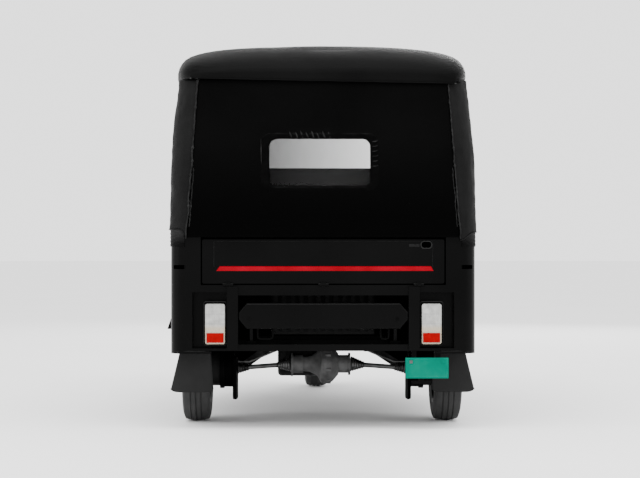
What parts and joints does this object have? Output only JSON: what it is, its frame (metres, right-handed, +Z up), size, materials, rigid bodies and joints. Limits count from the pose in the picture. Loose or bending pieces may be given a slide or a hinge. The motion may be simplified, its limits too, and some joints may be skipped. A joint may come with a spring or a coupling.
{
  "type": "auto rickshaw",
  "caption": "Electric three-wheeled auto rickshaw with a rounded black body, fabric hood with rear window, bottom-hinged tailgate, steered front wheel and open cab with seats.",
  "frame": {"origin": "on the ground under the middle of the vehicle's length and width", "axes": "X to the vehicle's right, Y forward, Z up"},
  "size_m": [1.568, 2.8332, 1.7784],
  "materials": {
    "body_paint": "gloss",
    "frame_paint": "satin",
    "hood_cloth": "satin",
    "window_film": "clear",
    "glass": "clear",
    "lamp_clear": "gloss",
    "lamp_red": "gloss",
    "lamp_amber": "gloss",
    "black_plastic": "matte",
    "seat_cover": "satin",
    "motor_black": "satin",
    "cast_grey": "cast",
    "steel": "satin",
    "wheel_paint": "satin",
    "tyre": "matte",
    "rubber": "matte",
    "plate_green": "satin"
  },
  "bodies": {
    "body": {"front_apron": "body_paint", "wheel_well": "body_paint", "windscreen_frame": "body_paint", "windscreen_glass": "glass", "headlamp_pods": "black_plastic", "headlamp_lenses": "glass", "front_indicators": "lamp_amber", "mirrors": "black_plastic", "dashboard": "black_plastic", "floor_pan": "frame_paint", "side_sills": "body_paint", "underframe": "frame_paint", "battery_pack": "black_plastic", "controller_box": "black_plastic", "motor": "motor_black", "transaxle": "cast_grey", "drive_shafts": "steel", "trailing_arms": "frame_paint", "rear_springs": "motor_black", "brake_pipes": "steel", "quarter_panels": "body_paint", "wheel_arches": "body_paint", "rear_panel": "body_paint", "rear_bumper": "body_paint", "bumper_bolts": "steel", "tail_lamps": "lamp_clear", "tail_lamp_reds": "lamp_red", "number_plate": "plate_green", "plate_bracket": "frame_paint", "mud_flaps": "rubber", "rear_deck": "frame_paint", "passenger_seat": "seat_cover", "passenger_backrest": "seat_cover", "driver_seat_base": "frame_paint", "driver_seat": "seat_cover", "driver_backrest": "seat_cover", "partition": "frame_paint", "cab_frame": "frame_paint", "hood_roof": "hood_cloth", "hood_flaps": "hood_cloth", "rear_curtain": "hood_cloth", "rear_window": "window_film", "brake_pedal": "frame_paint"},
    "tailgate": {"tailgate": "body_paint", "tailgate_latch": "black_plastic"},
    "steering": {"fork": "frame_paint", "fork_link": "frame_paint", "front_spring": "motor_black", "front_mudguard": "body_paint", "handlebar": "frame_paint", "handlebar_grips": "rubber"},
    "front_wheel": {"front_tyre": "tyre", "front_rim": "wheel_paint"},
    "rear_wheel_left": {"rear_tyre_left": "tyre", "rear_rim_left": "wheel_paint"},
    "rear_wheel_right": {"rear_tyre_right": "tyre", "rear_rim_right": "wheel_paint"}
  },
  "joints": [
    {"name": "tailgate_hinge", "type": "hinge", "parent": "body", "child": "tailgate", "pos_m": [0, -1.394, 0.645], "axis": [1, 0, 0], "range_deg": [0, 95]},
    {"name": "steering", "type": "hinge", "parent": "body", "child": "steering", "pos_m": [0, 0.83841, 0.756], "axis": [0, -0.4067, 0.9135], "range_deg": [-40, 40]},
    {"name": "front_wheel_spin", "type": "hinge", "parent": "steering", "child": "front_wheel", "pos_m": [0, 1.125, 0.246], "axis": [1, 0, 0], "continuous": true},
    {"name": "rear_wheel_left_spin", "type": "hinge", "parent": "body", "child": "rear_wheel_left", "pos_m": [-0.577, -0.885, 0.246], "axis": [1, 0, 0], "continuous": true},
    {"name": "rear_wheel_right_spin", "type": "hinge", "parent": "body", "child": "rear_wheel_right", "pos_m": [0.577, -0.885, 0.246], "axis": [1, 0, 0], "continuous": true}
  ]
}
